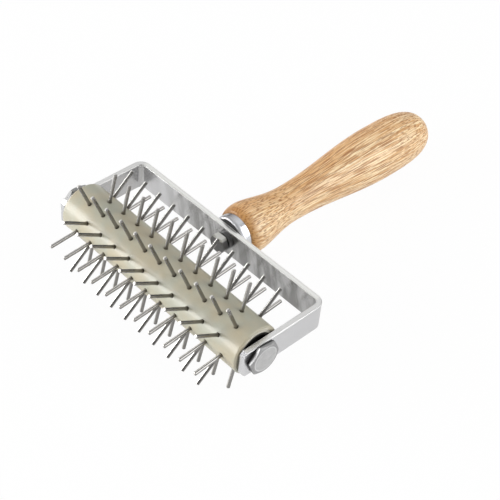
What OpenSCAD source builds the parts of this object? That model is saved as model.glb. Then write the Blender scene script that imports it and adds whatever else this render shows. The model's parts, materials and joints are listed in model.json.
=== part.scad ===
// Dough docker: a pinned roller in a bent strap frame, with a turned wooden handle.
// It is stored as it rests on a table: on two rows of pins and the bulb of the handle.

/* [Roller] */
// Outside diameter of the roller
roller_d = 28; // [22:0.5:40]
// Length of the roller between its end faces
roller_l = 134; // [90:0.5:180]
// Wall of the roller tube
roller_wall = 5; // [4.1:0.1:8]
// Radius of the rounded edge at each end of the roller
roller_edge = 1.1; // [0.3:0.1:1.7]
// Wall of the roller at its mouths, where the bore is wider
lip_wall = 2; // [1.8:0.1:2.8]
// Depth of that wider bore
mouth_l = 5; // [4.6:0.1:5.2]
// Length of the bush in each end of the roller
bush_l = 12; // [7:0.5:25]
// How far each bush sits inside the end of the roller
bush_recess = 0.5; // [0.3:0.05:0.8]
// Depth of the hollow in the face of each bush
hollow_l = 3.3; // [1.5:0.1:3.6]
// Width of the ring round that hollow
hollow_wall = 3; // [2:0.1:4]

/* [Pins] */
// Diameter of a pin
pin_d = 2; // [1.4:0.1:2.2]
// How far a pin stands out of the roller
pin_out = 17; // [8:0.5:22]
// How deep a pin sits in its socket
pin_seat = 4; // [2:0.1:4.8]
// Chamfer on the free end of a pin
pin_chamfer = 0.2; // [0.05:0.05:0.4]
// Distance between neighbouring pins in a row
pin_pitch = 11.2; // [6:0.1:20]
// From the far end of the roller to the first pin of a full row
pin_start = 12.8; // [8:0.1:20]
// How much later the first pin of a staggered row comes
pin_stagger = 5.9; // [2:0.1:10]
// Least distance from the last pin to the near end of the roller
pin_margin = 7.5; // [7.5:0.5:12]
// Width of the countersink round each socket
sink_d = 2.4; // [2.2:0.1:4]
// Depth of that countersink, from the crown of the roller
sink_h = 0.3; // [0.2:0.1:1]

/* [Frame] */
// Width of the bar that the frame is bent from
strap_w = 16; // [14:0.5:30]
// Thickness of that bar
strap_t = 3.2; // [2:0.1:5]
// Rounding along the four edges of the bar
strap_edge = 0.45; // [0.2:0.05:0.8]
// Gap between the far end of the roller and its arm
gap_far = 0.45; // [0.4:0.05:3]
// Gap between the near end of the roller and its arm, where the play is
gap_near = 0.85; // [0.4:0.05:3]
// From the tips of the pins to the middle of the frame
bridge_gap = 9.84; // [8:0.1:30]
// How far the arms reach past the axle
arm_over = 11.8; // [10:0.1:20]
// Size of the clipped corners at the end of an arm
arm_clip = 2; // [0.5:0.1:5]
// Inside radius of the two bends
bend_r = 2.8; // [1.5:0.1:8]

/* [Axle] */
// Diameter of the axle
axle_d = 8; // [5:0.1:11]
// Width across the flats of the axle's head and nut
axle_af = 17; // [14:0.1:22]
// Height of the axle's head and nut
axle_head_h = 3; // [2.4:0.1:6]
// Turn of the axle's head about its axis
axle_head_turn = 22; // [0:1:60]
// Wall of the sleeves that hold the roller away from the arms
spacer_wall = 1.5; // [0.8:0.1:1.9]

/* [Handle fixing] */
// Diameter of the bolt that holds the handle
bolt_d = 6; // [4:0.1:8]
// Width across the flats of that bolt's head
bolt_af = 10; // [10:0.1:14]
// Height of that bolt's head
bolt_head_h = 4; // [3:0.1:5]
// Length of the bolt under its head
bolt_l = 30; // [24:1:40]
// Thickness of the spring washer
lock_t = 1.6; // [1:0.1:2.5]
// Width of the spring washer's ring
lock_w = 1.9; // [1.5:0.1:2.5]
// Outside diameter of the threaded insert
insert_d = 10; // [9.6:0.1:13]
// Length of the threaded insert
insert_l = 25; // [15:1:30]
// Outside diameter of the ferrule
ferrule_d = 23.5; // [18:0.1:28]
// Length of the ferrule
ferrule_l = 5.4; // [4:0.1:15]
// Wall of the ferrule
ferrule_wall = 1; // [0.6:0.1:1.8]
// Outside radius of the ferrule's rounded front edge
ferrule_edge = 2; // [1.2:0.1:3]

/* [Handle] */
// Length of the wood, from the ferrule to the end
handle_l = 147.4; // [122:0.1:180]
// Largest diameter of the shoulder
shoulder_d = 28.8; // [24:0.1:34]
// Length over which the shoulder swells out of the ferrule
shoulder_l = 7.6; // [3:0.1:12]
// Smallest diameter of the waist
waist_d = 20.6; // [16:0.1:25]
// From the ferrule to the narrowest point of the waist
waist_at = 37.4; // [25:0.1:50]
// Largest diameter of the bulb
bulb_d = 31.4; // [26:0.1:40]
// From the ferrule to the fullest point of the bulb
bulb_at = 110; // [70:0.5:135]
// Fullness of the rounded end: 2 is an ellipse, more is squarer
end_power = 3.2; // [2:0.1:4]

/* [Hidden] */

$fn = 72;
// Radial clearance of a piece that is pressed or screwed into another
press_clear = 0.02;
// Radial clearance of the roller's bushes on the axle
run_clear = 0.05;
// Radial clearance of a bolt in its drilled hole
bolt_clear = 0.15;
// How far a cutter reaches past the face that it cuts
cut = 1;
// Slope of the chamfers on hexagon heads and nuts
hex_slope = 30;
// Share of the width across flats that the chamfers leave flat
hex_face = 0.95;
// How far the end of the axle lies inside the outer face of its nut
axle_end_in = 0.2;
// How far the bore of the handle goes on past the insert and the bolt
bore_spare = 1;
// Slope of the cone that a drill leaves at the bottom of a bore
drill_slope = 31;
// Steps along a rounded edge
edge_steps = 8;

rows = 10;
row_step = 360 / rows;
roller_r = roller_d / 2;
tube_r = roller_r - roller_wall;
mouth_r = roller_r - lip_wall;
tip_r = roller_r + pin_out;
half_in = (roller_l + gap_far + gap_near) / 2;
half_out = half_in + strap_t;
far_end = gap_far - half_in;
near_end = far_end + roller_l;
spacer_l = min(gap_far, gap_near) + bush_recess + hollow_l - run_clear;
bridge_y = tip_r + bridge_gap;
ferrule_y = bridge_y + strap_t;
wood_y = ferrule_y + ferrule_l;
tenon_y = ferrule_y + ferrule_wall + press_clear;
tenon_r = ferrule_d / 2 - ferrule_wall - press_clear;
insert_y = tenon_y + press_clear;
bolt_y = bridge_y - lock_t;
bore_end = max(insert_y + insert_l, bolt_y + bolt_l) + bore_spare;

// The handle's outline as [radius, distance from the ferrule], from the ferrule to the end
shoulder_steps = 8;
sweep_steps = 18;
end_steps = 20;
// The fall from shoulder to waist is steeper at first than a plain cosine
waist_lead = 0.8;
function ease(u) = (1 - cos(180 * u)) / 2;
function shoulder_curve() = [
  for (i = [0 : shoulder_steps])
    let (a = 90 * i / shoulder_steps)
      [ferrule_d / 2 + (shoulder_d - ferrule_d) / 2 * sin(a), shoulder_l * (1 - cos(a))]
];
function waist_curve() = [
  for (i = [1 : sweep_steps])
    let (u = i / sweep_steps)
      [
        (shoulder_d - (shoulder_d - waist_d) * ease(pow(u, waist_lead))) / 2,
        shoulder_l + (waist_at - shoulder_l) * u
      ]
];
function bulb_curve() = [
  for (i = [1 : sweep_steps])
    let (u = i / sweep_steps)
      [(waist_d + (bulb_d - waist_d) * ease(u)) / 2, waist_at + (bulb_at - waist_at) * u]
];
function end_curve() = [
  for (i = [1 : end_steps])
    let (a = 90 * i / end_steps)
      [
        i == end_steps ? 0 : bulb_d / 2 * pow(cos(a), 2 / end_power),
        bulb_at + (handle_l - bulb_at) * pow(sin(a), 2 / end_power)
      ]
];
outline = concat(shoulder_curve(), waist_curve(), bulb_curve(), end_curve());

// Height of the axle at rest: the rows left and right of the lowest point stand on the table
axle_z = tip_r * cos(row_step / 2) + (pin_d / 2 - pin_chamfer) * sin(row_step / 2);
// How far the handle hangs below the axle when it is tilted by t degrees
function hang(t) = max([for (p = outline) (wood_y + p[1]) * sin(t) + p[0] * cos(t)]);
// The tilt at which the handle just touches the table, by halving
function settle(lo, hi, n) =
  let (mid = (lo + hi) / 2)
    n == 0 ? mid : hang(mid) > axle_z ? settle(lo, mid, n - 1) : settle(mid, hi, n - 1);
rest_tilt = settle(0, 40, 40);
// The model's origin lies on the table, under the middle of the whole tool
reach_y = max([for (p = outline) (wood_y + p[1]) * cos(rest_tilt) + p[0] * sin(rest_tilt)]);
shift_y = (tip_r - reach_y) / 2;

// Puts a child drawn about the axle, with the handle along +Y, into the resting place
module rest() {
  translate([0, shift_y, axle_z])
    rotate([-rest_tilt, 0, 0])
      children();
}

// Turns a child drawn along +Z so that it points along +X from the given place
module along_x(x = 0) {
  translate([x, 0, 0])
    rotate([0, 90, 0])
      children();
}

// Turns a child drawn along +Z so that it points along +Y from the given place
module along_y(y = 0) {
  translate([0, y, 0])
    rotate([-90, 0, 0])
      children();
}

// A hexagon head from 0 to h, with its corners turned off at the outer face, or at both
module hex_head(af, h, both = false) {
  corner_r = af / sqrt(3);
  face_r = hex_face * af / 2;
  drop = (corner_r - face_r) * tan(hex_slope);
  intersection() {
    cylinder(r = corner_r, h = h, $fn = 6);
    rotate_extrude()
      polygon([
        [0, 0],
        [both ? face_r : corner_r, 0],
        [corner_r, both ? drop : 0],
        [corner_r, h - drop],
        [face_r, h],
        [0, h]
      ]);
  }
}

// An arc about a middle point, as the steps of a rounded edge
function corner(x, y, r, from) = [
  for (i = [0 : edge_steps])
    let (a = from + 90 * i / edge_steps)
      [x + r * cos(a), y + r * sin(a)]
];

// How many pins fit in a row that starts at the given distance from the far end
function pins_from(start) = floor((roller_l - start - pin_margin) / pin_pitch) + 1;
function row_start(row) = row % 2 == 0 ? pin_start : pin_start + pin_stagger;
function row_turn(row) = 90 - row_step * (row - 1) - rest_tilt;

// Puts a child, drawn along +Z from the axle, at each pin of a row
module at_pins(row) {
  for (i = [0 : pins_from(row_start(row)) - 1])
    translate([far_end + row_start(row) + i * pin_pitch, 0, 0])
      rotate([-row_turn(row), 0, 0])
        children();
}

// The hole for one pin, with its countersink carried on past the crown of the roller
module pin_socket() {
  socket_r = pin_d / 2 + press_clear;
  flare = (sink_d / 2 - socket_r) / sink_h;
  rotate_extrude()
    polygon([
      [0, roller_r - pin_seat],
      [socket_r, roller_r - pin_seat],
      [socket_r, roller_r - sink_h],
      [sink_d / 2 + flare * cut, roller_r + cut],
      [0, roller_r + cut]
    ]);
}

module roller_tube() {
  color([0.78, 0.76, 0.66])
    rest()
      difference() {
        along_x(far_end)
          rotate_extrude()
            polygon(concat(
              [[tube_r, mouth_l], [mouth_r, mouth_l], [mouth_r, 0]],
              corner(roller_r - roller_edge, roller_edge, roller_edge, -90),
              corner(roller_r - roller_edge, roller_l - roller_edge, roller_edge, 0),
              [[mouth_r, roller_l], [mouth_r, roller_l - mouth_l], [tube_r, roller_l - mouth_l]]
            ));
        for (row = [1 : rows])
          at_pins(row) pin_socket();
      }
}

// The bush at the near end for side 1, and at the far end for side -1.
// It fills the bore and the mouth of the roller, and a spacer turns in the hollow of its face.
module roller_bush(side) {
  end_x = side > 0 ? near_end : -far_end;
  bore_r = axle_d / 2 + run_clear;
  flange_r = mouth_r - press_clear;
  flange_back = bush_l + bush_recess - mouth_l + press_clear;
  color([0.86, 0.86, 0.83])
    rest()
      mirror([side < 0 ? 1 : 0, 0, 0])
        along_x(end_x - bush_recess - bush_l)
          rotate_extrude()
            polygon([
              [bore_r, 0],
              [tube_r - press_clear, 0],
              [tube_r - press_clear, flange_back],
              [flange_r, flange_back],
              [flange_r, bush_l],
              [mouth_r - hollow_wall, bush_l],
              [mouth_r - hollow_wall, bush_l - hollow_l],
              [bore_r, bush_l - hollow_l]
            ]);
}

module pin_row(row) {
  foot_r = roller_r - pin_seat + press_clear;
  color([0.72, 0.72, 0.7])
    rest()
      at_pins(row)
        rotate_extrude()
          polygon([
            [0, foot_r],
            [pin_d / 2, foot_r],
            [pin_d / 2, tip_r - pin_chamfer],
            [pin_d / 2 - pin_chamfer, tip_r],
            [0, tip_r]
          ]);
}

// The bar's section: thickness along x from 0, width along y about 0
module bar_section() {
  r = strap_edge;
  translate([r, -strap_w / 2])
    square([strap_t - 2 * r, strap_w]);
  translate([0, -strap_w / 2 + r])
    square([strap_t, strap_w - 2 * r]);
  for (x = [r, strap_t - r], y = [-1, 1])
    translate([x, y * (strap_w / 2 - r)])
      circle(r = r);
}

// One arm with its bend, on the side of +X
module strap_arm() {
  straight_y = bridge_y - bend_r;
  translate([half_in, straight_y, 0])
    rotate([90, 0, 0])
      linear_extrude(straight_y + arm_over)
        bar_section();
  translate([half_in - bend_r, straight_y, 0])
    rotate_extrude(angle = 90)
      translate([bend_r, 0])
        bar_section();
}

module frame_strap() {
  flat = half_in - bend_r;
  color([0.8, 0.8, 0.8])
    rest()
      difference() {
        union() {
          strap_arm();
          mirror([1, 0, 0])
            strap_arm();
          translate([-flat, bridge_y, 0])
            rotate([90, 0, 90])
              linear_extrude(2 * flat)
                bar_section();
        }
        for (side = [-1, 1])
          translate([0, -arm_over, side * strap_w / 2])
            rotate([45, 0, 0])
              cube([2 * half_out + cut, arm_clip * sqrt(2), arm_clip * sqrt(2)], center = true);
        along_x(-half_out - cut)
          cylinder(d = axle_d + 2 * bolt_clear, h = 2 * (half_out + cut));
        along_y(bridge_y - cut)
          cylinder(d = bolt_d + 2 * bolt_clear, h = strap_t + 2 * cut);
      }
}

module axle_bolt() {
  color([0.7, 0.7, 0.7])
    rest() {
      along_x(axle_end_in - half_out - axle_head_h)
        cylinder(d = axle_d, h = 2 * half_out + axle_head_h);
      along_x(half_out)
        rotate([0, 0, axle_head_turn])
          hex_head(axle_af, axle_head_h, true);
    }
}

module axle_nut() {
  color([0.6, 0.6, 0.6])
    rest()
      along_x(-half_out - axle_head_h)
        difference() {
          rotate([0, 0, axle_head_turn])
            hex_head(axle_af, axle_head_h, true);
          translate([0, 0, -cut])
            cylinder(d = axle_d + 2 * press_clear, h = axle_head_h + 2 * cut);
        }
}

// A sleeve on the axle, from the arm to the bottom of the hollow in the bush
module spacer(side) {
  color([0.5, 0.5, 0.5])
    rest()
      mirror([side < 0 ? 1 : 0, 0, 0])
        along_x(half_in - spacer_l)
          difference() {
            cylinder(r = axle_d / 2 + spacer_wall, h = spacer_l);
            translate([0, 0, -cut])
              cylinder(r = axle_d / 2 + run_clear, h = spacer_l + 2 * cut);
          }
}

module handle() {
  bore_r = insert_d / 2 + press_clear;
  color([0.85, 0.62, 0.4])
    rest()
      difference() {
        along_y(wood_y)
          rotate_extrude()
            polygon(concat(
              [
                [0, tenon_y - wood_y],
                [tenon_r - ferrule_edge, tenon_y - wood_y],
                [tenon_r, tenon_y - wood_y + ferrule_edge],
                [tenon_r, 0]
              ],
              outline
            ));
        along_y(0)
          rotate_extrude()
            polygon([
              [0, tenon_y - cut],
              [bore_r, tenon_y - cut],
              [bore_r, bore_end],
              [0, bore_end + bore_r * tan(drill_slope)]
            ]);
      }
}

module ferrule() {
  outer_r = ferrule_d / 2;
  inner_r = outer_r - ferrule_wall;
  color([0.82, 0.83, 0.85])
    rest()
      difference() {
        along_y(ferrule_y)
          rotate_extrude()
            polygon(concat(
              [[0, 0]],
              corner(outer_r - ferrule_edge, ferrule_edge, ferrule_edge, -90),
              [
                [outer_r, ferrule_l],
                [inner_r, ferrule_l],
                [inner_r, ferrule_edge],
                [outer_r - ferrule_edge, ferrule_wall],
                [0, ferrule_wall]
              ]
            ));
        along_y(ferrule_y - cut)
          cylinder(d = bolt_d + 2 * bolt_clear, h = ferrule_wall + 2 * cut);
      }
}

module handle_insert() {
  color([0.8, 0.65, 0.3])
    rest()
      along_y(insert_y)
        difference() {
          cylinder(d = insert_d, h = insert_l);
          translate([0, 0, -cut])
            cylinder(d = bolt_d + 2 * press_clear, h = insert_l + 2 * cut);
        }
}

module handle_bolt() {
  color([0.45, 0.45, 0.45])
    rest() {
      along_y(bolt_y)
        mirror([0, 0, 1])
          hex_head(bolt_af, bolt_head_h);
      along_y(bolt_y - cut)
        cylinder(d = bolt_d, h = bolt_l + cut);
    }
}

module handle_lock_washer() {
  lock_d = bolt_d + 2 * bolt_clear;
  split = lock_t / 3;
  color([0.55, 0.55, 0.55])
    rest()
      along_y(bolt_y)
        difference() {
          cylinder(d = lock_d + 2 * lock_w, h = lock_t);
          translate([0, 0, -cut])
            cylinder(d = lock_d, h = lock_t + 2 * cut);
          translate([0, lock_d / 2 + lock_w / 2, lock_t / 2])
            rotate([0, 40, 0])
              cube([split, 2 * lock_w, 3 * lock_t], center = true);
        }
}

roller_tube();
roller_bush(1);  // roller_bush_near
roller_bush(-1);  // roller_bush_far
pin_row(1);  // pin_row_01
pin_row(2);  // pin_row_02
pin_row(3);  // pin_row_03
pin_row(4);  // pin_row_04
pin_row(5);  // pin_row_05
pin_row(6);  // pin_row_06
pin_row(7);  // pin_row_07
pin_row(8);  // pin_row_08
pin_row(9);  // pin_row_09
pin_row(10);  // pin_row_10
frame_strap();
axle_bolt();
axle_nut();
spacer(1);  // spacer_near
spacer(-1);  // spacer_far
handle();
ferrule();
handle_insert();
handle_bolt();
handle_lock_washer();
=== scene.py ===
import json
import math

import bmesh
import bpy
from bpy.props import FloatProperty, FloatVectorProperty, PointerProperty
from mathutils import Matrix, Vector


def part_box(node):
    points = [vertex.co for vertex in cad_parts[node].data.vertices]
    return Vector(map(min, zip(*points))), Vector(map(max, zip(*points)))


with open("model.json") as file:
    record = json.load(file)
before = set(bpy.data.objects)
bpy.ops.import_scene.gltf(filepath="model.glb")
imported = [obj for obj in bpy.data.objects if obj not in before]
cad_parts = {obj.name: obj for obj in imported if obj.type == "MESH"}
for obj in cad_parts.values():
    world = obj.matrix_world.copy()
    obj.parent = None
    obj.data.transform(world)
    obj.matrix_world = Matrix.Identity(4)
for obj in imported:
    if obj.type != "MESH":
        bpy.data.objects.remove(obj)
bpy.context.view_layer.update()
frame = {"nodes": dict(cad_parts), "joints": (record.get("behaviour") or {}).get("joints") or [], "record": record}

bl_info = {
    "name": "Dough docker finish",
    "version": (1, 0, 0),
    "blender": (4, 5, 0),
    "location": "View3D > Sidebar > Docker",
    "description": "Finishes the parts of a pinned dough docker and sets up its table, lamps and camera",
    "category": "Object",
}

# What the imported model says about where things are, in metres
MM = 0.001
AXLE = Vector(frame["joints"][0]["pos_m"])
HANDLE_AXIS = Vector(frame["record"]["mounts"][0]["axis"])
REST_TILT = math.atan2(-HANDLE_AXIS.z, HANDLE_AXIS.y)
ROLLER_LOW, ROLLER_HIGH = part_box("roller_tube")
ROLLER_RADIUS = (ROLLER_HIGH.y - ROLLER_LOW.y) / 2
STRAP_LOW, STRAP_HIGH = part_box("frame_strap")
ARM_FACE = (STRAP_HIGH.x - STRAP_LOW.x) / 2 / MM
STRAP_WIDTH = 16.0
STRAP_THICKNESS = 3.2
BEND_OUTSIDE = 6.0
STRAP_BACK = ((STRAP_HIGH.y - AXLE.y) / MM - STRAP_WIDTH / 2 * math.sin(REST_TILT)) / math.cos(REST_TILT)
BRIDGE_FACE = STRAP_BACK - STRAP_THICKNESS
FERRULE_FRONT = STRAP_BACK
AXLE_FLATS = 17.0
LOCK_THICKNESS = 1.6
FULL_LOW, FULL_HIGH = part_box("pin_row_02")
SHORT_LOW, SHORT_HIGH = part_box("pin_row_01")
PIN_RADIUS = (SHORT_HIGH.z - SHORT_LOW.z) / 2
PINS_IN_FULL_ROW = 11
PIN_PITCH = (FULL_HIGH.x - FULL_LOW.x - 2 * PIN_RADIUS) / (PINS_IN_FULL_ROW - 1)
PIN_TURNS = 10
WOOD_LOW, WOOD_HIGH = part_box("handle")
FERRULE_LOW, FERRULE_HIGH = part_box("ferrule")
GRAIN_START = (FERRULE_HIGH.y - AXLE.y) / MM
GRAIN_LENGTH = (WOOD_HIGH.y - FERRULE_HIGH.y) / MM
TIP_HEIGHT = 31.0
PIN_ROWS = [f"pin_row_{number:02d}" for number in range(1, PIN_TURNS + 1)]


class Value:
    """A number socket of a material. Python arithmetic on it adds Math nodes."""

    def __init__(self, paint, socket):
        self.paint = paint
        self.socket = socket

    def math(self, operation, *numbers):
        node = self.paint.node("ShaderNodeMath", {"operation": operation}, dict(enumerate(numbers)))
        return Value(self.paint, node.outputs[0])

    def __add__(self, other):
        return self.math("ADD", self, other)

    def __radd__(self, other):
        return self.math("ADD", other, self)

    def __sub__(self, other):
        return self.math("SUBTRACT", self, other)

    def __rsub__(self, other):
        return self.math("SUBTRACT", other, self)

    def __mul__(self, other):
        return self.math("MULTIPLY", self, other)

    def __rmul__(self, other):
        return self.math("MULTIPLY", other, self)

    def __truediv__(self, other):
        return self.math("DIVIDE", self, other)

    def __rtruediv__(self, other):
        return self.math("DIVIDE", other, self)

    def __pow__(self, other):
        return self.math("POWER", self, other)

    def __mod__(self, other):
        return self.math("FLOORED_MODULO", self, other)

    def __abs__(self):
        return self.math("ABSOLUTE", self)

    def rounded(self):
        return self.math("ROUND", self)

    def clamp(self, low, high):
        return self.math("MINIMUM", self.math("MAXIMUM", self, low), high)

    def step(self, low, high):
        """0 below low, 1 above high, and a smooth rise between; falls instead if low is the larger."""
        node = self.paint.node(
            "ShaderNodeMapRange",
            {"interpolation_type": "SMOOTHSTEP"},
            {"Value": self, "From Min": low, "From Max": high},
        )
        return Value(self.paint, node.outputs["Result"])


class Nodes:
    """Adds and links the nodes of one material or world."""

    def __init__(self, tree):
        self.tree = tree
        self.tree.nodes.clear()

    def node(self, kind, settings, inputs):
        node = self.tree.nodes.new(kind)
        for name, setting in settings.items():
            if name == "stops":
                self.set_stops(node.color_ramp, setting)
            else:
                setattr(node, name, setting)
        for name, given in inputs.items():
            socket = node.inputs[name]
            if isinstance(given, Value):
                self.tree.links.new(given.socket, socket)
            elif isinstance(given, bpy.types.NodeSocket):
                self.tree.links.new(given, socket)
            else:
                socket.default_value = given
        return node

    @staticmethod
    def set_stops(ramp, stops):
        while len(ramp.elements) < len(stops):
            ramp.elements.new(1.0)
        for element, (place, colour) in zip(ramp.elements, stops):
            element.position = place
            element.color = (*colour, 1.0)

    def split(self, vector):
        node = self.node("ShaderNodeSeparateXYZ", {}, {0: vector})
        return [Value(self, socket) for socket in node.outputs]

    def seen_by(self, *rays):
        """1 for the named kinds of ray, such as Is Camera Ray, and 0 for all others."""
        path = self.node("ShaderNodeLightPath", {}, {})
        return sum((Value(self, path.outputs[ray]) for ray in rays[1:]), Value(self, path.outputs[rays[0]]))


class Paint(Nodes):
    """Builds one material's nodes round a Principled shader."""

    def __init__(self, name, **constants):
        self.material = bpy.data.materials.new(name)
        self.material.use_nodes = True
        super().__init__(self.material.node_tree)
        self.shader = self.node("ShaderNodeBsdfPrincipled", {}, constants)
        self.output = self.node("ShaderNodeOutputMaterial", {}, {"Surface": self.shader.outputs[0]})

    def feed(self, **inputs):
        """Links what varies over the surface to the shader, such as Base_Color=socket."""
        for name, given in inputs.items():
            socket = given.socket if isinstance(given, Value) else given
            self.tree.links.new(socket, self.shader.inputs[name.replace("_", " ")])

    def place(self, centre=(0, 0, 0), turn=(0, 0, 0), stretch=(1, 1, 1)):
        """Object coordinates in millimetres about a centre, turned, then stretched."""
        coordinates = self.node("ShaderNodeTexCoord", {}, {})
        local = self.node(
            "ShaderNodeMapping",
            {"vector_type": "TEXTURE"},
            {"Vector": coordinates.outputs["Object"], "Location": centre, "Rotation": turn, "Scale": (MM, MM, MM)},
        )
        stretched = self.node(
            "ShaderNodeVectorMath",
            {"operation": "MULTIPLY"},
            {0: local.outputs[0], 1: stretch},
        )
        return stretched.outputs[0]

    def stretch(self, vector, by):
        node = self.node("ShaderNodeVectorMath", {"operation": "MULTIPLY"}, {0: vector, 1: by})
        return node.outputs[0]

    def join(self, x, y, z):
        return self.node("ShaderNodeCombineXYZ", {}, {0: x, 1: y, 2: z}).outputs[0]

    def noise(self, vector, scale, detail=2.0, roughness=0.5, distortion=0.0):
        inputs = {"Vector": vector, "Scale": scale, "Detail": detail, "Roughness": roughness, "Distortion": distortion}
        return Value(self, self.node("ShaderNodeTexNoise", {}, inputs).outputs[0])

    def cells(self, vector, dimensions="3D"):
        """How far a point is from the nearest of many scattered points."""
        settings = {"voronoi_dimensions": dimensions}
        return Value(self, self.node("ShaderNodeTexVoronoi", settings, {"Vector": vector, "Scale": 1.0}).outputs[0])

    def ramp(self, value, stops):
        return self.node("ShaderNodeValToRGB", {"stops": stops}, {0: value}).outputs[0]

    def blend(self, amount, first, second, how="MIX"):
        settings = {"data_type": "RGBA", "blend_type": how}
        node = self.node("ShaderNodeMix", settings, {0: amount})
        for index, given in ((6, first), (7, second)):
            if isinstance(given, bpy.types.NodeSocket):
                self.tree.links.new(given, node.inputs[index])
            else:
                node.inputs[index].default_value = (*given, 1.0)
        return node.outputs[2]

    def bump(self, height, depth, strength=1.0, under=None):
        """A bump normal. The height runs from 0 to 1 over the given depth in metres."""
        inputs = {"Height": height, "Distance": depth, "Strength": strength}
        if under is not None:
            inputs["Normal"] = under
        return self.node("ShaderNodeBump", {}, inputs).outputs[0]


class DockerSteel(bpy.types.PropertyGroup):
    """Colours and finish of the steel parts."""

    strap_colour: FloatVectorProperty(
        name="Strap", description="Colour of the brushed bar", subtype="COLOR", size=3, min=0, max=1,
        default=(0.72, 0.72, 0.73),
    )
    pin_colour: FloatVectorProperty(
        name="Pins", description="Colour of the pins' wire", subtype="COLOR", size=3, min=0, max=1,
        default=(0.84, 0.82, 0.79),
    )
    fastener_colour: FloatVectorProperty(
        name="Fasteners", description="Colour of the bolts, nut and spring washer", subtype="COLOR", size=3, min=0,
        max=1, default=(0.60, 0.60, 0.60),
    )
    ferrule_colour: FloatVectorProperty(
        name="Ferrule", description="Colour of the polished ferrule", subtype="COLOR", size=3, min=0, max=1,
        default=(0.74, 0.75, 0.78),
    )
    brushed_roughness: FloatProperty(
        name="Brushed roughness", description="Roughness of the brushed bar", min=0, max=1, default=0.22,
    )


class DockerPlastic(bpy.types.PropertyGroup):
    """Colours of the roller and its bearings."""

    roller_colour: FloatVectorProperty(
        name="Roller", description="Colour of the roller's plastic", subtype="COLOR", size=3, min=0, max=1,
        default=(0.42, 0.40, 0.315),
    )
    bearing_colour: FloatVectorProperty(
        name="Bushes", description="Colour of the bushes in the ends of the roller", subtype="COLOR", size=3, min=0, max=1,
        default=(0.66, 0.64, 0.55),
    )
    # This near-black colour is a painted shadow over the middle of each bush, next to the arm.
    painted_hub_shadow_colour: FloatVectorProperty(
        name="Hub", description="Colour of the greased middle of each bush, next to the arm", subtype="COLOR", size=3,
        min=0, max=1, default=(0.015, 0.014, 0.012),
    )
    socket_shade_width: FloatProperty(
        name="Socket shade", description="Width of the darker ring round each pin", unit="LENGTH", min=0, max=0.01,
        default=0.0005,
    )


class DockerWood(bpy.types.PropertyGroup):
    """Colours and grain of the handle."""

    light_colour: FloatVectorProperty(
        name="Light wood", description="Colour of the early wood", subtype="COLOR", size=3, min=0, max=1,
        default=(1.0, 0.80, 0.51),
    )
    dark_colour: FloatVectorProperty(
        name="Dark wood", description="Colour of the late wood", subtype="COLOR", size=3, min=0, max=1,
        default=(0.74, 0.42, 0.16),
    )
    streak_colour: FloatVectorProperty(
        name="Streaks", description="Colour of the fine streaks along the grain", subtype="COLOR", size=3, min=0, max=1,
        default=(0.64, 0.31, 0.09),
    )
    pore_colour: FloatVectorProperty(
        name="Pores", description="Colour inside the open pores", subtype="COLOR", size=3, min=0, max=1,
        default=(0.32, 0.10, 0.012),
    )
    edge_colour: FloatVectorProperty(
        name="Turned edges", description="Colour where the tool has burnished the shoulder and the end",
        subtype="COLOR", size=3, min=0, max=1, default=(0.55, 0.27, 0.07),
    )
    ring_spacing: FloatProperty(
        name="Band spacing", description="Distance between the bands of the grain", unit="LENGTH", min=0.0005,
        max=0.02, default=0.0035,
    )
    pore_depth: FloatProperty(
        name="Pore depth", description="Depth of the open pores", unit="LENGTH", min=0, max=0.001, default=0.00012,
    )


class DockerStudio(bpy.types.PropertyGroup):
    """The table, the lamps and the camera."""

    table_size: FloatProperty(
        name="Table", description="Length of each side of the table", unit="LENGTH", min=1, max=50, default=8.0,
    )
    right_power: FloatProperty(
        name="Right lamp", description="Power of the large soft box on the right", unit="POWER", min=0, max=500,
        default=12.0,
    )
    front_power: FloatProperty(
        name="Front lamp", description="Power of the low soft box in front of the roller", unit="POWER", min=0,
        max=500, default=35.0,
    )
    back_power: FloatProperty(
        name="Back lamp", description="Power of the soft box above the far side, which the flat steel mirrors",
        unit="POWER", min=0, max=500, default=5.0,
    )
    sky_level: FloatProperty(
        name="Sky", description="Level of the soft light from above", min=0, max=2, default=0.42,
    )
    horizon_level: FloatProperty(
        name="Horizon", description="Level of the light from the sides of the room", min=0, max=2, default=0.12,
    )
    camera_place: FloatVectorProperty(
        name="Camera", description="Where the camera stands", subtype="TRANSLATION", unit="LENGTH", size=3,
        default=(0.3298, -0.3415, 0.4903),
    )
    camera_azimuth: FloatProperty(
        name="Azimuth", description="Direction that the camera looks in, from +Y towards -X", unit="ROTATION",
        default=math.radians(46.02),
    )
    camera_elevation: FloatProperty(
        name="Elevation", description="How far the camera looks down", unit="ROTATION", default=math.radians(46.62),
    )
    camera_roll: FloatProperty(
        name="Roll", description="How far the camera is turned about its own view", unit="ROTATION",
        default=math.radians(1.08),
    )
    camera_lens: FloatProperty(
        name="Lens", description="Focal length of the camera in millimetres", min=20, max=300, default=88.3,
    )


def dress(names, material):
    """Gives CAD nodes one material in all their slots."""
    for name in names:
        part = frame["nodes"][name]
        part.data.materials.clear()
        part.data.materials.append(material)


def nearest_pin(paint, local):
    """Where a point lies from the middle of the nearest pin, in millimetres: along the axle and round the
    roller. Also its height over the axle."""
    x, y, z = paint.split(local)
    height = (y * y + z * z) ** 0.5
    turn = y.math("ARCTAN2", y, z) / (2 * math.pi / PIN_TURNS)
    row = (2.5 - turn) + PIN_TURNS
    nearest = row.rounded()
    across = (row - nearest) * (2 * math.pi / PIN_TURNS) * height
    staggered = 1 - nearest % 2
    first_full = (FULL_LOW.x + PIN_RADIUS - AXLE.x) / MM
    first_short = (SHORT_LOW.x + PIN_RADIUS - AXLE.x) / MM
    start = first_full + staggered * (first_short - first_full)
    pitch = PIN_PITCH / MM
    last = (PINS_IN_FULL_ROW - 1) - staggered
    pin = ((x - start) / pitch).rounded().clamp(0, last)
    along = x - start - pin * pitch
    return along, across, height


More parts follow.
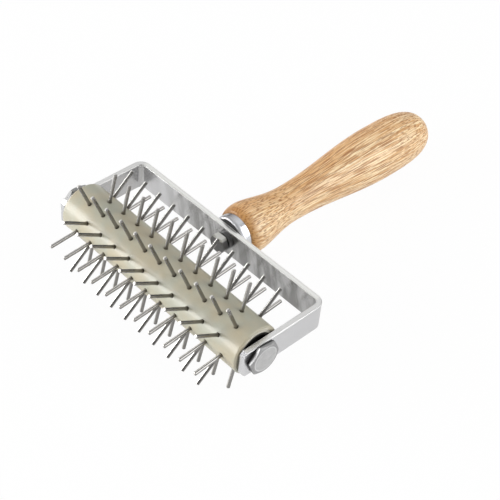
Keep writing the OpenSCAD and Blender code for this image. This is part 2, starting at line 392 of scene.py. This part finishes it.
def roller_plastic(look):
    """Cream plastic, polished by use, with a painted ring of shade round each pin."""
    paint = Paint("roller_plastic", Roughness=0.3)
    paint.shader.inputs["Coat Weight"].default_value = 0.35
    paint.shader.inputs["Coat Roughness"].default_value = 0.26
    local = paint.place(centre=AXLE)
    along, across, height = nearest_pin(paint, local)
    distance = (along * along + across * across) ** 0.5
    width = look.socket_shade_width / MM
    # Painted shade: a dark brown ring round the socket of each pin.
    shade = distance.step(PIN_RADIUS / MM + width, PIN_RADIUS / MM)
    cloudy = paint.noise(local, 0.06, 3, 0.6)
    fine = paint.noise(local, 1.6, 4, 0.6)
    base = look.roller_colour
    warm = [channel * gain for channel, gain in zip(base, (1.08, 1.0, 0.9))]
    cool = [channel * gain for channel, gain in zip(base, (0.95, 1.0, 1.02))]
    colour = paint.blend(cloudy.step(0.3, 0.7), warm, cool)
    speckled = paint.blend(fine.step(0.52, 0.72) * 0.22, colour, [channel * 0.6 for channel in base])
    paint.feed(Base_Color=paint.blend(shade * 0.75, speckled, (0.09, 0.07, 0.045)))
    paint.feed(Roughness=0.26 + cloudy * 0.12 + fine * 0.05)
    scratches = paint.noise(paint.stretch(local, (0.08, 1.0, 1.0)), 2.2, 3, 0.5)
    paint.feed(Normal=paint.bump(scratches, 0.00003, 0.25))
    return paint.material


def pin_steel(look):
    """Drawn wire: fine lines along each pin, with painted shade down one side of each pin and towards the roller."""
    paint = Paint("pin_steel", Metallic=1.0)
    local = paint.place(centre=AXLE)
    along, across, height = nearest_pin(paint, local)
    lines = paint.noise(paint.join(along * 2.0 + 6.2, across * 2.0, height * 0.05), 1.0, 2, 0.5)
    # Painted shade: the side of each pin towards +X is darker, broken up by the drawn lines.
    side = along * (0.88 * MM / PIN_RADIUS) + (lines - 0.5) * 0.4
    # Painted shade: the pins darken towards the roller, within 4 mm of its surface.
    painted_root_shade = height.step(ROLLER_RADIUS / MM + 4.0, ROLLER_RADIUS / MM - 0.5)
    painted_side_shade = [channel * 0.18 for channel in look.pin_colour]
    drawn = paint.blend(side.step(-0.3, 0.35) * 0.8, look.pin_colour, painted_side_shade)
    tip = height.step(TIP_HEIGHT - 0.5, TIP_HEIGHT - 0.2)
    paint.feed(Base_Color=paint.blend(painted_root_shade * 0.7, drawn, (0.09, 0.075, 0.055)))
    paint.feed(Roughness=0.07 + lines * 0.1 + tip * 0.35)
    return paint.material


def brushed_bar(look):
    """Stainless bar, brushed along its length, with soft mottling, painted streaks of shade and reflection on its inner
    faces, and a painted sheen on its narrow faces.
    """
    paint = Paint("strap_steel", Metallic=1.0)
    paint.shader.inputs["Anisotropic"].default_value = 0.8
    paint.shader.inputs["Anisotropic Rotation"].default_value = 0.25
    local = paint.place(centre=AXLE, turn=(-REST_TILT, 0, 0))
    x, y, z = paint.split(local)
    inner_half = (STRAP_HIGH.x - STRAP_LOW.x) / 2 / MM - 4.0
    on_arm = abs(x).step(inner_half - 2.0, inner_half + 1.0)
    bridge_lines = paint.noise(paint.stretch(local, (0.03, 6.0, 6.0)), 1.0, 3, 0.6)
    arm_lines = paint.noise(paint.stretch(local, (6.0, 0.03, 6.0)), 1.0, 3, 0.6)
    lines = bridge_lines + on_arm * (arm_lines - bridge_lines)
    patches = paint.noise(local, 0.12, 3, 0.6)
    dark = [channel * 0.86 for channel in look.strap_colour]
    round_x = (abs(x) - (ARM_FACE - BEND_OUTSIDE)).clamp(0, BEND_OUTSIDE)
    round_y = (y - (STRAP_BACK - BEND_OUTSIDE)).clamp(0, BEND_OUTSIDE)
    depth = BEND_OUTSIDE - (round_x * round_x + round_y * round_y) ** 0.5
    # Painted sheen: the narrow faces of the bar are painted near-white, strongly on the bridge and less on the arms.
    painted_edge_sheen = abs(z).step(STRAP_WIDTH / 2 - 0.3, STRAP_WIDTH / 2 - 0.1)
    rounded = abs(z).step(STRAP_WIDTH / 2 - 0.55, STRAP_WIDTH / 2 - 0.4) * abs(depth - 1.6).step(1.0, 1.2)
    inside = depth.step(STRAP_THICKNESS - 0.3, STRAP_THICKNESS - 0.1)
    streaks = paint.noise(paint.join(x * 0.11 + z * 0.03, 0.0, z * 0.03), 1.0, 4, 0.55)
    # Painted shade and reflection: dark streaks on the bridge's inner face, heavier towards +X, and a plain darkening
    # of the arms' inner faces.
    painted_inner_shade = inside * streaks.step(0.40, 0.58) * (0.12 + x.step(-60, -10) * 0.5) * (1 - on_arm) + inside * on_arm * 0.25
    brushed = paint.blend(lines.step(0.25, 0.8), dark, look.strap_colour)
    brushed = paint.blend(painted_edge_sheen * (0.95 - on_arm * 0.5), brushed, (0.96, 0.96, 0.93))
    paint.feed(Base_Color=paint.blend(painted_inner_shade, brushed, (0.20, 0.20, 0.19)))
    paint.feed(Roughness=look.brushed_roughness - 0.08 + patches * 0.1 + lines * 0.08 + rounded * 0.35)
    paint.feed(Normal=paint.bump(lines, 0.00002, 0.35))
    return paint.material


def turned_steel(look, name="bolt_steel", shade=1.0, matt=0.16):
    """Machined steel, with the fine rings that a lathe leaves, painted shade and a painted highlight line on the head's
    chamfer, and a painted black shadow where a head sits on the strap.
    """
    paint = Paint(name, Metallic=1.0)
    local = paint.place(centre=AXLE)
    x, y, z = paint.split(local)
    reach = (y * y + z * z) ** 0.5
    rings = paint.noise(paint.join(reach * 7.0, x * 5.0, 0.0), 1.0, 2, 0.5)
    patches = paint.noise(paint.stretch(local, (1.0, 0.5, 1.6)), 0.5, 3, 0.6)
    light = [channel * shade for channel in look.fastener_colour]
    dark = [channel * 0.85 for channel in light]
    metal = paint.blend(patches.step(0.3, 0.75), dark, light)
    # Painted light on the head's chamfer: painted shade outside its flat face and a painted highlight line just inside
    # the edge of that face.
    painted_rim_shade = reach.step(AXLE_FLATS * 0.42, AXLE_FLATS * 0.44)
    painted_highlight = abs(reach - AXLE_FLATS * 0.41).step(0.4, 0.1)
    side = reach.step(AXLE_FLATS * 0.465, AXLE_FLATS * 0.48)
    metal = paint.blend(painted_rim_shade * 0.4, metal, (0.1, 0.1, 0.1))
    metal = paint.blend(painted_highlight * 0.4, metal, (0.9, 0.9, 0.9))
    # Painted shadow: near-black where the axle's head meets the arm.
    painted_seat_shadow = abs(x - ARM_FACE).step(1.9, 1.0)
    paint.feed(Base_Color=paint.blend(painted_seat_shadow * 0.9, metal, (0.02, 0.02, 0.02)))
    paint.feed(Roughness=0.18 + patches * 0.06 + rings * 0.04 + side * matt)
    paint.feed(Normal=paint.bump(rings, 0.00002, 0.3))
    return paint.material


def dark_bolt(look):
    """Dark steel of the handle's bolt and its spring washer, with a painted highlight on the head's upper facets and a
    painted black shadow where head and washer meet.
    """
    paint = Paint("handle_bolt_steel", Metallic=1.0)
    local = paint.place(centre=AXLE, turn=(-REST_TILT, 0, 0))
    x, y, z = paint.split(local)
    patches = paint.noise(local, 0.6, 3, 0.6)
    low = [channel * 0.26 for channel in look.fastener_colour]
    high = [channel * 0.42 for channel in look.fastener_colour]
    # Painted highlight: the upper facets of the head are painted near-white.
    painted_highlight = z.step(3.3, 4.1) * y.step(BRIDGE_FACE - LOCK_THICKNESS, BRIDGE_FACE - LOCK_THICKNESS - 0.3)
    metal = paint.blend(painted_highlight * 0.6, paint.blend(patches, low, high), (0.97, 0.97, 0.92))
    # Painted shadow: near-black where the head meets the spring washer.
    painted_gap_shadow = abs(y - (BRIDGE_FACE - LOCK_THICKNESS)).step(0.6, 0.2)
    paint.feed(Base_Color=paint.blend(painted_gap_shadow * 0.95, metal, (0.01, 0.01, 0.01)))
    paint.feed(Roughness=0.3 + patches * 0.15)
    return paint.material


def polished_steel(look):
    """The polished ferrule, with faint lines round it, painted shade on its upper side towards -X, and a painted black
    shadow on its face against the strap.
    """
    paint = Paint("ferrule_steel", Metallic=1.0)
    local = paint.place(centre=AXLE, turn=(-REST_TILT, 0, 0))
    x, y, z = paint.split(local)
    lines = paint.noise(paint.join(y * 8.0, x * 0.1, z * 0.1), 1.0, 2, 0.5)
    patches = paint.noise(local, 0.3, 2, 0.5)
    dark = [channel * 0.93 for channel in look.ferrule_colour]
    # Painted shadow: near-black on the ferrule's face against the strap.
    front = y.step(FERRULE_FRONT + 0.5, FERRULE_FRONT + 0.1)
    rounded = y.step(FERRULE_FRONT + 2.6, FERRULE_FRONT + 1.8)
    # Painted shade: the upper side of the ferrule towards -X is painted darker.
    painted_upper_shade = z.step(6.0, 11.0) * x.step(4.0, -3.0)
    metal = paint.blend(lines, dark, look.ferrule_colour)
    metal = paint.blend(painted_upper_shade * 0.6, metal, (0.33, 0.31, 0.31))
    paint.feed(Base_Color=paint.blend(front * 0.9, metal, (0.03, 0.03, 0.03)))
    paint.feed(Roughness=0.19 + patches * 0.05 + lines * 0.04 + rounded * 0.10)
    return paint.material


def bearing_plastic(look):
    """Natural bearing plastic, slightly cloudy, with a painted black shadow over its middle next to the arm."""
    paint = Paint("bush_plastic")
    local = paint.place(centre=AXLE)
    cloudy = paint.noise(local, 0.4, 3, 0.6)
    dark = [channel * 0.85 for channel in look.bearing_colour]
    x, y, z = paint.split(local)
    # Painted shadow: near-black inside a radius of about 10.4 mm, next to the arm.
    painted_hub_shadow = ((y * y + z * z) ** 0.5).step(10.6, 10.2)
    paint.feed(Base_Color=paint.blend(painted_hub_shadow, paint.blend(cloudy, dark, look.bearing_colour), look.painted_hub_shadow_colour))
    paint.feed(Roughness=0.42 + cloudy * 0.12)
    return paint.material


def insert_brass():
    """Plain machined brass of the insert inside the handle."""
    paint = Paint("insert_brass", Metallic=1.0)
    local = paint.place(centre=AXLE, turn=(-REST_TILT, 0, 0))
    patches = paint.noise(local, 0.6, 3, 0.6)
    paint.feed(Base_Color=paint.blend(patches, (0.55, 0.40, 0.14), (0.70, 0.52, 0.20)))
    paint.feed(Roughness=0.25 + patches * 0.15)
    return paint.material


def handle_wood(look):
    """Open-pored hardwood: pale and darker bands, and short dark pores along the grain, under clear lacquer; painted
    shade darkens its -X side.
    """
    paint = Paint("handle_wood")
    paint.shader.inputs["Coat Weight"].default_value = 0.3
    paint.shader.inputs["Coat Roughness"].default_value = 0.3
    local = paint.place(centre=AXLE, turn=(-REST_TILT, 0, 0))
    x, y, z = paint.split(local)
    lean = x * 0.6 + z * 0.8
    wander = paint.noise(paint.stretch(local, (0.03, 0.012, 0.03)), 1.0, 2, 0.5)
    bands = paint.noise(paint.join(lean / (look.ring_spacing / MM) + wander * 4.0, y * 0.008, x * 0.03), 1.0, 3, 0.6)
    clouds = paint.noise(paint.stretch(local, (0.05, 0.015, 0.05)), 1.0, 2, 0.5)
    # Painted shade: the term in x darkens the -X side of the handle, on top of the real bands and clouds of the grain.
    late = ((bands - 0.5) * 1.3 + (clouds - 0.5) * 1.0 + 0.34 - x * 0.045).clamp(0, 1)
    ground = paint.blend(late, look.light_colour, look.dark_colour)
    wavy = paint.noise(paint.stretch(local, (0.12, 0.03, 0.12)), 1.0, 1, 0.5)
    follow = (13.0 / ((x * x + z * z) ** 0.5).clamp(9.0, 20.0)) ** 0.85
    streaks = paint.noise(paint.join(x * follow * 3.4 + wavy * 0.5, y * 0.045, z * follow * 3.4), 1.0, 0, 0.5)
    streaked = paint.blend(streaks.step(0.44, 0.56) * 0.8, ground, look.streak_colour)
    from_ferrule = y - GRAIN_START
    crowded = from_ferrule.step(48.0, 30.0) + from_ferrule.step(GRAIN_LENGTH - 45.0, GRAIN_LENGTH - 20.0)
    long_pores = paint.cells(paint.join(x * follow * 1.6 - wavy * 0.4, y * 0.06, z * follow * 1.6 + 5.0))
    short_pores = paint.cells(paint.join(x * 1.3 + 7.0, y * 0.25, z * 1.3 - wavy))
    pore = (long_pores.step(0.44, 0.34) * (1 - crowded * 0.6) + short_pores.step(0.42, 0.30) * (0.3 + crowded * 0.6)).clamp(0, 1)
    turned = from_ferrule.step(6.0, 0.0) + from_ferrule.step(GRAIN_LENGTH - 5.0, GRAIN_LENGTH) * 0.7
    toned = paint.blend(turned * 0.85, streaked, look.edge_colour)
    paint.feed(Base_Color=paint.blend(pore * (0.75 + late * 0.25), toned, look.pore_colour))
    paint.feed(Roughness=0.36 + streaks * 0.1 + pore * 0.25)
    paint.feed(Normal=paint.bump(1 - pore, look.pore_depth, 0.5))
    return paint.material


class DOCKER_OT_roller(bpy.types.Operator):
    """Finish the roller tube and its bushes"""

    bl_idname = "docker.roller"
    bl_label = "Roller"

    def execute(self, context):
        look = context.scene.docker_plastic
        dress(["roller_tube"], roller_plastic(look))
        dress(["roller_bush_near", "roller_bush_far"], bearing_plastic(look))
        return {"FINISHED"}


class DOCKER_OT_pins(bpy.types.Operator):
    """Finish the ten rows of pins"""

    bl_idname = "docker.pins"
    bl_label = "Pins"

    def execute(self, context):
        dress(PIN_ROWS, pin_steel(context.scene.docker_steel))
        return {"FINISHED"}


class DOCKER_OT_frame(bpy.types.Operator):
    """Finish the strap frame and the ferrule"""

    bl_idname = "docker.frame"
    bl_label = "Frame"

    def execute(self, context):
        look = context.scene.docker_steel
        dress(["frame_strap"], brushed_bar(look))
        dress(["ferrule"], polished_steel(look))
        return {"FINISHED"}


class DOCKER_OT_fasteners(bpy.types.Operator):
    """Finish the axle, its nut and spacers, the handle bolt, its spring washer and the insert"""

    bl_idname = "docker.fasteners"
    bl_label = "Fasteners"

    def execute(self, context):
        look = context.scene.docker_steel
        dress(["axle_bolt", "spacer_near", "spacer_far"], turned_steel(look))
        # The nut's copy of this steel is 1.25 times lighter, as painted light, and rougher.
        dress(["axle_nut"], turned_steel(look, "nut_steel", 1.25, 0.55))
        dress(["handle_bolt", "handle_lock_washer"], dark_bolt(look))
        dress(["handle_insert"], insert_brass())
        return {"FINISHED"}


class DOCKER_OT_handle(bpy.types.Operator):
    """Finish the turned wooden handle"""

    bl_idname = "docker.handle"
    bl_label = "Handle"

    def execute(self, context):
        dress(["handle"], handle_wood(context.scene.docker_wood))
        return {"FINISHED"}


def table_top(size):
    """A pale table that reads as white to the camera but keeps the object's shadow."""
    mesh = bpy.data.meshes.new("table")
    form = bmesh.new()
    bmesh.ops.create_grid(form, x_segments=1, y_segments=1, size=size / 2)
    form.to_mesh(mesh)
    form.free()
    table = bpy.data.objects.new("table", mesh)
    bpy.context.scene.collection.objects.link(table)
    paint = Paint("table_white", Roughness=0.9)
    paint.shader.inputs["Base Color"].default_value = (0.9, 0.9, 0.9, 1.0)
    glow = paint.node("ShaderNodeEmission", {}, {"Color": (1, 1, 1, 1), "Strength": 1.0})
    amount = paint.seen_by("Is Camera Ray") * 0.96 + paint.seen_by("Is Glossy Ray", "Is Transmission Ray") * 0.3
    mix = paint.node("ShaderNodeMixShader", {}, {0: amount, 1: paint.shader.outputs[0], 2: glow.outputs[0]})
    paint.tree.links.new(mix.outputs[0], paint.output.inputs["Surface"])
    mesh.materials.append(paint.material)
    return table


def area_lamp(name, place, target, size, power):
    """A square soft box that points at a target."""
    data = bpy.data.lights.new(name, "AREA")
    data.shape = "RECTANGLE"
    data.size, data.size_y = size
    data.energy = power
    lamp = bpy.data.objects.new(name, data)
    lamp.location = place
    lamp.rotation_mode = "QUATERNION"
    lamp.rotation_quaternion = (Vector(target) - Vector(place)).to_track_quat("-Z", "Y")
    bpy.context.scene.collection.objects.link(lamp)
    return lamp


def studio_room(sky_level, horizon_level):
    """The room: plain white where the camera sees it, and a soft sky over darker sides elsewhere."""
    world = bpy.data.worlds.new("studio")
    world.use_nodes = True
    room = Nodes(world.node_tree)
    coordinates = room.node("ShaderNodeTexCoord", {}, {})
    rise = room.split(coordinates.outputs["Generated"])[2]
    level = horizon_level + rise.step(0.05, 0.6) * (sky_level - horizon_level)
    seen = room.seen_by("Is Camera Ray", "Is Transmission Ray").clamp(0, 1)
    background = room.node("ShaderNodeBackground", {}, {"Color": (1, 1, 1, 1), "Strength": level + seen * (1 - level)})
    room.node("ShaderNodeOutputWorld", {}, {"Surface": background.outputs[0]})
    bpy.context.scene.world = world


def stand_camera(studio):
    """The camera at the photograph's place and viewing angle."""
    data = bpy.data.cameras.new("camera")
    data.lens = studio.camera_lens
    camera = bpy.data.objects.new("camera", data)
    turn, down, roll = studio.camera_azimuth, studio.camera_elevation, studio.camera_roll
    ahead = Vector((-math.sin(turn) * math.cos(down), math.cos(turn) * math.cos(down), -math.sin(down)))
    level = ahead.cross(Vector((0, 0, 1))).normalized()
    rise = level.cross(ahead)
    right = level * math.cos(roll) + rise * math.sin(roll)
    up = right.cross(ahead)
    camera.matrix_world = Matrix((right, up, -ahead)).transposed().to_4x4()
    camera.location = studio.camera_place
    bpy.context.scene.collection.objects.link(camera)
    bpy.context.scene.camera = camera


class DOCKER_OT_stage(bpy.types.Operator):
    """Set up the table, the lamps and the camera"""

    bl_idname = "docker.stage"
    bl_label = "Table, lamps and camera"

    def execute(self, context):
        studio = context.scene.docker_studio
        context.scene.view_settings.view_transform = "Standard"
        table_top(studio.table_size)
        target = (0, 0, 0.02)
        area_lamp("right_lamp", (1.0, 0.55, 0.65), target, (1.1, 1.1), studio.right_power)
        area_lamp("front_lamp", (-0.8, -1.05, 0.2), target, (1.9, 0.9), studio.front_power)
        area_lamp("back_lamp", (-0.74, 0.72, 1.09), target, (2.0, 2.0), studio.back_power)
        studio_room(studio.sky_level, studio.horizon_level)
        stand_camera(studio)
        return {"FINISHED"}


STEPS = (DOCKER_OT_roller, DOCKER_OT_pins, DOCKER_OT_frame, DOCKER_OT_fasteners, DOCKER_OT_handle, DOCKER_OT_stage)


class DOCKER_PT_parts(bpy.types.Panel):
    """Lists the steps that finish the docker"""

    bl_idname = "DOCKER_PT_parts"
    bl_label = "Dough docker"
    bl_space_type = "VIEW_3D"
    bl_region_type = "UI"
    bl_category = "Docker"

    def draw(self, context):
        for step in STEPS:
            self.layout.operator(step.bl_idname)


GROUPS = {
    "docker_steel": DockerSteel,
    "docker_plastic": DockerPlastic,
    "docker_wood": DockerWood,
    "docker_studio": DockerStudio,
}


def register():
    for group in GROUPS.values():
        bpy.utils.register_class(group)
    for step in (*STEPS, DOCKER_PT_parts):
        bpy.utils.register_class(step)
    for name, group in GROUPS.items():
        setattr(bpy.types.Scene, name, PointerProperty(type=group))


def unregister():
    for name in GROUPS:
        delattr(bpy.types.Scene, name)
    for step in (DOCKER_PT_parts, *reversed(STEPS)):
        bpy.utils.unregister_class(step)
    for group in reversed(GROUPS.values()):
        bpy.utils.unregister_class(group)


def main():
    register()
    bpy.ops.docker.roller()
    bpy.ops.docker.pins()
    bpy.ops.docker.frame()
    bpy.ops.docker.fasteners()
    bpy.ops.docker.handle()
    bpy.ops.docker.stage()


if __name__ == "__main__":
    main()
